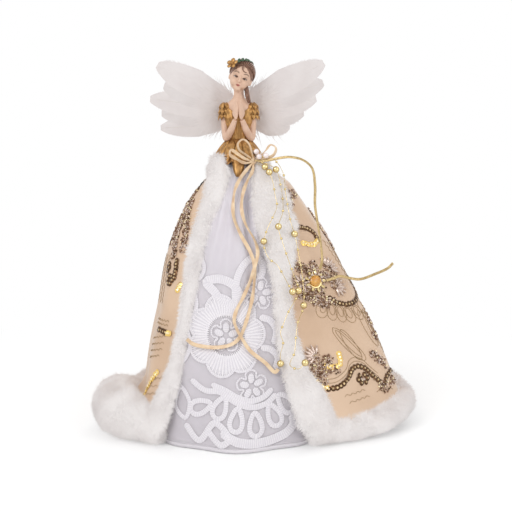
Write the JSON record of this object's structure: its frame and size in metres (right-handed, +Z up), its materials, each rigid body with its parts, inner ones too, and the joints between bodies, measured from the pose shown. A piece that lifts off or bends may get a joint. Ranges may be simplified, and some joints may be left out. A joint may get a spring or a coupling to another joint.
{
  "type": "angel tree topper",
  "caption": "Angel figure tree topper on a hollow cone, with a lace skirt, satin robe edged in fur, feather wings that fold, a ribbon bow, bead strands and a brooch.",
  "frame": {"origin": "middle of the cone's mouth, where the tip of the tree goes in, in the plane of the surface it stands on", "axes": "+Z up the figure, -Y to the front, +X to the viewer's right"},
  "size_m": [0.2644, 0.2433, 0.2998],
  "materials": {
    "card": "matte",
    "gold_resin": "antique gold paint on cast resin",
    "skin_paint": "matte paint on cast resin",
    "green_paint": "matte",
    "white_satin": "satin",
    "white_lace": "sheer organza with embroidery",
    "champagne_satin": "satin with sequins",
    "white_fur": "long pile",
    "white_feather": "downy",
    "white_felt": "matte",
    "steel_wire": "plain",
    "champagne_ribbon": "satin",
    "pearl": "pearl",
    "gold_bead": "metallised",
    "amber": "polished",
    "crystal": "faceted"
  },
  "bodies": {
    "angel_body": {"cone_core": "card", "bust": "gold_resin", "left_arm": "skin_paint", "right_arm": "skin_paint", "hair_flower": "gold_resin", "hair_wreath": "green_paint", "underskirt": "white_satin", "lace_panel": "white_lace", "robe": "champagne_satin", "fur_left_edge": "white_fur", "fur_right_edge": "white_fur", "fur_hem": "white_fur", "wing_pad": "white_felt", "bow_knot": "champagne_ribbon", "bow_loop_right": "champagne_ribbon", "bow_loop_upper": "champagne_ribbon", "bow_loop_lower": "champagne_ribbon", "ribbon_tail_left": "champagne_ribbon", "ribbon_tail_right": "champagne_ribbon", "ribbon_arch": "champagne_ribbon", "ribbon_free_end": "champagne_ribbon", "pearl_1": "pearl", "pearl_2": "pearl", "pearl_3": "pearl", "bead_strand_1": "gold_bead", "bead_strand_2": "gold_bead", "bead_strand_3": "gold_bead", "brooch_setting": "crystal", "brooch_stone": "amber"},
    "left_wing": {"left_wing_wire": "steel_wire", "left_wing_feather_1": "white_feather", "left_wing_feather_2": "white_feather", "left_wing_feather_3": "white_feather", "left_wing_feather_4": "white_feather", "left_wing_feather_5": "white_feather", "left_wing_fluff": "white_feather"},
    "right_wing": {"right_wing_wire": "steel_wire", "right_wing_feather_1": "white_feather", "right_wing_feather_2": "white_feather", "right_wing_feather_3": "white_feather", "right_wing_feather_4": "white_feather", "right_wing_feather_5": "white_feather", "right_wing_fluff": "white_feather"}
  },
  "joints": [
    {"name": "left_wing_fold", "type": "hinge", "parent": "angel_body", "child": "left_wing", "pos_m": [-0.007, 0.0111, 0.258], "axis": [0, 0, -1], "range_deg": [-10, 50]},
    {"name": "right_wing_fold", "type": "hinge", "parent": "angel_body", "child": "right_wing", "pos_m": [0.007, 0.0111, 0.258], "axis": [0, 0, 1], "range_deg": [-10, 50]}
  ]
}
